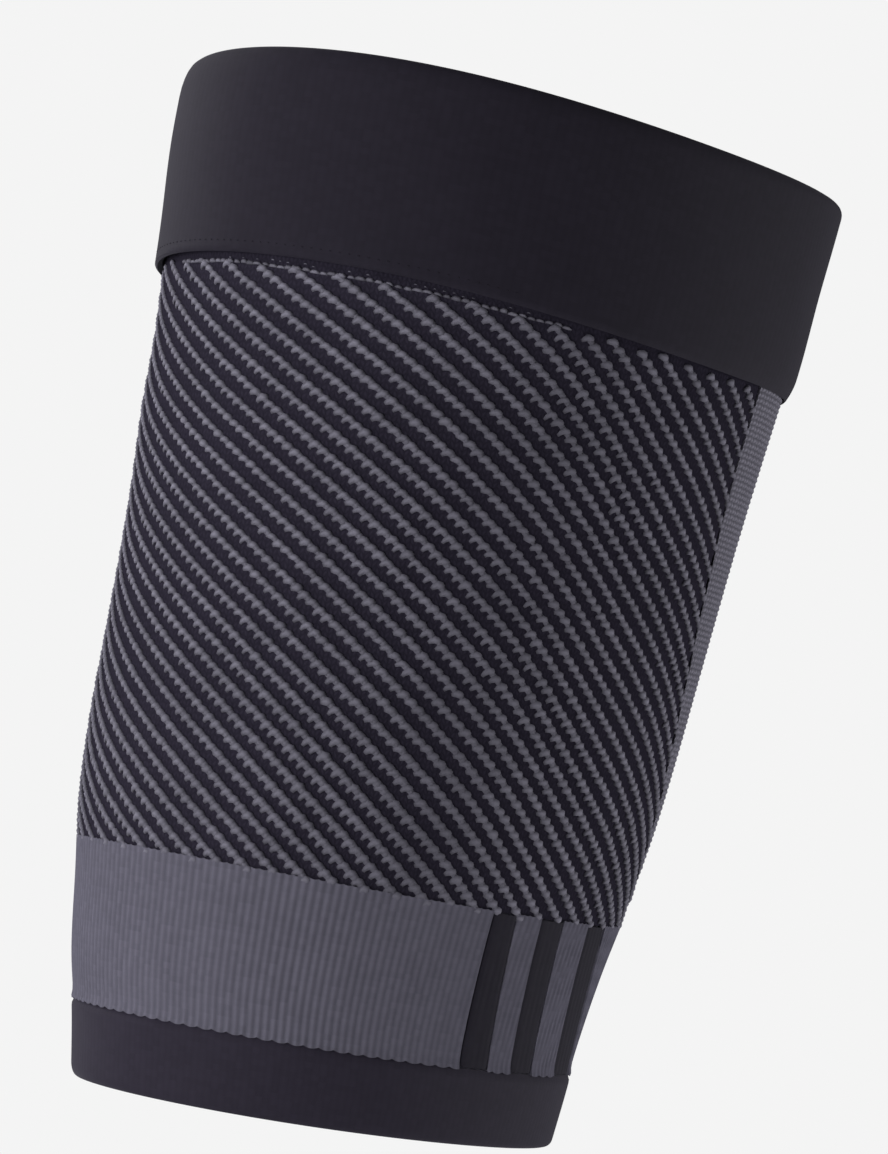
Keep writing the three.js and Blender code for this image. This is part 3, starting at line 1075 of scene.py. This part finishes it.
@dataclass(frozen=True)
class LowerBand:
    """Grey band of fine upright ribs, with dark stripes let into it and teeth over the hem."""

    leg: Leg
    stripes: tuple[Stripe, ...] = (
        Stripe(32.6, 38.7, 34.4, 43.0),
        Stripe(46.1, 53.6, 50.7, 59.4),
        Stripe(63.7, 72.6, 71.5, 86.0),
    )
    rib: float = 0.09 * MM
    stripe_rib: float = 0.03 * MM
    recess: float = 1.35 * MM
    stripe_wall: float = 1.0 * MM
    lap: float = 0.75 * MM
    lap_depth: float = -0.25 * MM
    columns: int = NEEDLES * 5
    rows: int = 28
    inner_rows: int = 4

    def lean(self, turn: np.ndarray, height: np.ndarray) -> np.ndarray:
        """Let the wales lean with the stripes.

        Args:
            turn: Arc angles at the band's top.
            height: Ring heights.

        Returns:
            Arc angles at those heights.
        """
        top, hem = [20.0], [20.0]
        for stripe in self.stripes:
            top += [stripe.start_top, stripe.end_top]
            hem += [stripe.start_hem, stripe.end_hem]
        top += [95.0, 140.0, 200.0]
        hem += [105.0, 147.0, 200.0]
        wrapped = np.where(turn < -np.pi * 0.9, turn + 2 * np.pi, turn)
        swing = np.radians(np.interp(np.degrees(wrapped), top, np.subtract(hem, top), left=0, right=0))
        return turn + swing * (BAND_TOP - height) / (BAND_TOP - HEM_TOP)

    def crown(self, turn: np.ndarray) -> np.ndarray:
        """Return the rise and fall of the upright ribs, from -1 to 1."""
        return np.cos(2 * np.pi * (turn - RIDGE_PHASE) / NEEDLE_TURN)

    def build(self) -> bpy.types.Object:
        """Return the band, whose toothed edge laps over the foot of the ridged knit."""
        turn = around(self.columns)[None, :]
        striped = np.zeros(turn.shape, bool)
        for stripe in self.stripes:
            striped |= (turn > math.radians(stripe.start_top)) & (turn < math.radians(stripe.end_top))
        lapped = ~striped & (turn > FAR_EDGE) & (turn < panel_edge(np.full(turn.shape, BAND_TOP)))
        foot = BAND_TOP - GAP / 2 - 0.4 * MM
        top = BAND_TOP - GAP / 2 - teeth(turn, 1, 0.35 * MM) + self.lap * lapped
        bottom = HEM_TOP + 0.2 * MM - teeth(turn, 2, 0.7 * MM)
        rise = np.linspace(0, 1, self.rows)[:, None]
        outer_z = bottom + (top - bottom) * rise
        inner_z = np.linspace(foot, HEM_TOP + GAP, self.inner_rows)[:, None]
        over_hem = 0.5 * MM * np.exp(-((outer_z - bottom) / (1.3 * MM)) ** 2)
        outer = np.broadcast_to(self.rib * self.crown(turn), outer_z.shape) + over_hem
        outer = np.where(striped, -self.recess, outer)
        under = np.where(lapped, self.lap_depth, -0.8 * WALL)
        inside = (self.inner_rows, self.columns)
        height = [outer_z, top, np.full(turn.shape, foot), np.broadcast_to(inner_z, inside)]
        height = np.concatenate(height)
        offset = np.concatenate([outer, under, under, np.full(inside, -WALL)])
        mesh = KnitMesh("band_knit", self.leg)
        mesh.shell(self.lean(np.broadcast_to(turn, height.shape), height), height, offset, ring=True)
        return mesh.piece(BAND_KNIT)

    def stripe(self, number: int, stripe: Stripe) -> bpy.types.Object:
        """Knit one dark stripe.

        Args:
            number: Place in the row of stripes, from 1.
            stripe: Its edges.

        Returns:
            The stripe.
        """
        edge = math.radians(0.08)
        start, end = math.radians(stripe.start_top) + edge, math.radians(stripe.end_top) - edge
        turn = np.linspace(start, end, 31)[None, :]
        top, bottom = BAND_TOP - GAP / 2 - 0.1 * MM, HEM_TOP + GAP / 2
        outer_z = np.linspace(bottom, top, self.rows)[:, None]
        height = np.concatenate([outer_z, outer_z[::-9]])
        offset = np.full((len(height), turn.shape[1]), -self.stripe_wall)
        sides = np.minimum(1, np.minimum(turn - start, end - turn) / (0.6 * NEEDLE_TURN))
        offset[: self.rows] = self.stripe_rib * self.crown(turn) - 0.30 * MM * (1 - sides) - 0.05 * MM
        mesh = KnitMesh(f"stripe_knit_{number}", self.leg)
        height = np.broadcast_to(height, offset.shape)
        mesh.shell(self.lean(np.broadcast_to(turn, offset.shape), height), height, offset, ring=False)
        return mesh.piece(STRIPE_KNIT)

    def dress(self) -> None:
        band = fit_out(self.build(), "lower_band")
        pieces = [
            fit_out(self.stripe(number, stripe), f"band_stripe_{number}")
            for number, stripe in enumerate(self.stripes, 1)
        ]


@dataclass(frozen=True)
class Hem:
    """Turned hem with a rounded lower edge."""

    leg: Leg
    proud: float = 0.6 * MM
    fold: float = 3 * MM
    columns: int = 432
    rows: int = 22
    fold_rows: int = 12

    def build(self) -> bpy.types.Object:
        """Return the hem."""
        turn = around(self.columns)[None, :]
        top = HEM_TOP - GAP / 2
        bend = np.linspace(np.pi, 0, self.fold_rows)[:, None]
        middle, reach = (self.proud - WALL) / 2, (self.proud + WALL) / 2
        fold = self.fold - 1.4 * MM * near(turn, 80, 45)
        fold_z = HEM_EDGE + fold * (1 - np.sin(bend))
        rise = np.linspace(0, 1, self.rows)[1:, None]
        outer_z = HEM_EDGE + fold + (top - HEM_EDGE - fold) * rise
        tuck = 0.9 * MM * np.exp(-((top - outer_z) / (1.1 * MM)) ** 2)
        sway = 0.10 * MM * np.sin(7 * turn + 0.6) * np.sin(np.pi * rise)
        height = np.concatenate([fold_z, outer_z, np.full((1, self.columns), top)])
        offset = np.concatenate(
            [
                np.broadcast_to(middle + reach * np.cos(bend), (self.fold_rows, self.columns)),
                self.proud - tuck + sway,
                np.full((1, self.columns), -WALL),
            ]
        )
        mesh = KnitMesh("hem_knit", self.leg)
        mesh.shell(turn, height, offset, ring=True)
        return mesh.piece(LIT_HEM_KNIT)

    def dress(self) -> None:
        """Build the hem."""
        hem = fit_out(self.build(), "bottom_hem")


@dataclass(frozen=True)
class Lamp:
    """Soft square lamp, placed round the sleeve and turned to it."""

    name: str
    azimuth_deg: float
    elevation_deg: float
    distance: float
    size: float
    power: float

    def place(self) -> None:
        """Hang the lamp."""
        light = bpy.data.lights.new(self.name, "AREA")
        light.shape = "SQUARE"
        light.size = self.size
        light.energy = self.power
        lamp = bpy.data.objects.new(self.name, light)
        turn, rise = math.radians(self.azimuth_deg), math.radians(self.elevation_deg)
        away = Vector((math.sin(turn) * math.cos(rise), -math.cos(turn) * math.cos(rise), math.sin(rise)))
        lamp.location = away * self.distance
        lamp.rotation_euler = away.to_track_quat("Z", "Y").to_euler()
        lamp.visible_camera = False
        bpy.context.scene.collection.objects.link(lamp)


@dataclass(frozen=True)
class Studio:
    """Pale floor, even surroundings, soft lamps and the camera."""

    floor_z: float = -0.75
    floor_radius: float = 2.4
    floor_tones: tuple[Colour, Colour] = ((0.74, 0.74, 0.74, 1), (0.78, 0.78, 0.78, 1))
    floor_glow: float = 0.85
    backdrop: Colour = (0.905, 0.905, 0.905, 1)
    fill: Colour = (0.12, 0.12, 0.12, 1)
    lamps: tuple[Lamp, ...] = (
        Lamp("left_lamp", -115, 20, 1.3, 0.8, 11.2),
        Lamp("wide_lamp", -55, -4, 1.0, 0.8, 6.2),
        Lamp("front_lamp", -30, -6, 1.0, 0.4, 4.9),
        Lamp("right_lamp", 99, -6, 1.3, 0.8, 12.4),
    )
    eye: tuple[float, float, float] = (0, -1.085, -0.0495)
    target: tuple[float, float, float] = (0.00655, 0, 0.014)
    roll: float = math.radians(12)
    lens: float = 129.4
    sensor: float = 36.0

    def floor(self) -> None:
        """Lay the floor, far enough below to leave the sleeve's surroundings plain."""
        rings, spokes = 6, 96
        turn = np.linspace(0, 2 * np.pi, spokes, endpoint=False)
        radius = self.floor_radius * np.arange(1, rings + 1) / rings
        points = [(0, 0, self.floor_z)]
        points += [(r * math.cos(t), r * math.sin(t), self.floor_z) for r in radius for t in turn]
        faces: list[Sequence[int]] = [(0, 1 + i, 1 + (i + 1) % spokes) for i in range(spokes)]
        for ring in range(rings - 1):
            inner, outer = 1 + ring * spokes, 1 + (ring + 1) * spokes
            for i in range(spokes):
                j = (i + 1) % spokes
                faces.append((inner + i, outer + i, outer + j, inner + j))
        mesh = bpy.data.meshes.new("floor")
        mesh.from_pydata(points, [], faces)
        material = bpy.data.materials.new("pale floor")
        graph = Graph(material)
        tone = graph.mix(graph.noise(0.4), *self.floor_tones)
        paint = graph.node("ShaderNodeBsdfDiffuse", None, {"Color": tone})
        glow = graph.node("ShaderNodeEmission", None, {"Color": tone})
        seen = graph.node("ShaderNodeLightPath", None, None, "Is Camera Ray")
        surface = graph.node("ShaderNodeMixShader", None, {0: seen * self.floor_glow, 1: paint, 2: glow})
        graph.node("ShaderNodeOutputMaterial", None, {"Surface": surface})
        mesh.materials.append(material)
        floor = bpy.data.objects.new("floor", mesh)
        bpy.context.scene.collection.objects.link(floor)

    def surroundings(self) -> None:
        """Give a pale backdrop to look at and a dimmer, even light from all round."""
        world = bpy.data.worlds.new("studio")
        graph = Graph(world)
        seen = graph.node("ShaderNodeLightPath", None, None, "Is Camera Ray")
        tone = graph.mix(seen, self.fill, self.backdrop)
        sky = graph.node("ShaderNodeBackground", None, {"Color": tone})
        graph.node("ShaderNodeOutputWorld", None, {"Surface": sky})
        scene = bpy.context.scene
        scene.world = world
        scene.view_settings.view_transform = "Standard"

    def camera(self) -> None:
        """Place the camera below the middle of the sleeve, turned so that the sleeve leans."""
        data = bpy.data.cameras.new("camera")
        data.lens = self.lens
        data.sensor_width = self.sensor
        camera = bpy.data.objects.new("camera", data)
        eye, target = Vector(self.eye), Vector(self.target)
        aim = (target - eye).to_track_quat("-Z", "Y").to_matrix().to_4x4()
        camera.matrix_world = Matrix.Translation(eye) @ aim @ Matrix.Rotation(self.roll, 4, "Z")
        bpy.context.scene.collection.objects.link(camera)
        bpy.context.scene.camera = camera

    def build(self) -> None:
        """Set up the studio."""
        self.floor()
        self.surroundings()
        self.camera()
        for lamp in self.lamps:
            lamp.place()


def main() -> None:
    """Build the studio and the sleeve, from the cuff down."""
    logging.basicConfig(level=logging.INFO, format="%(name)s %(message)s")
    Studio().build()
    leg = Leg()
    for part in (Cuff(leg), RidgedBody(leg), BackPanel(leg), LowerBand(leg), Hem(leg)):
        part.dress()


if __name__ == "__main__":
    main()
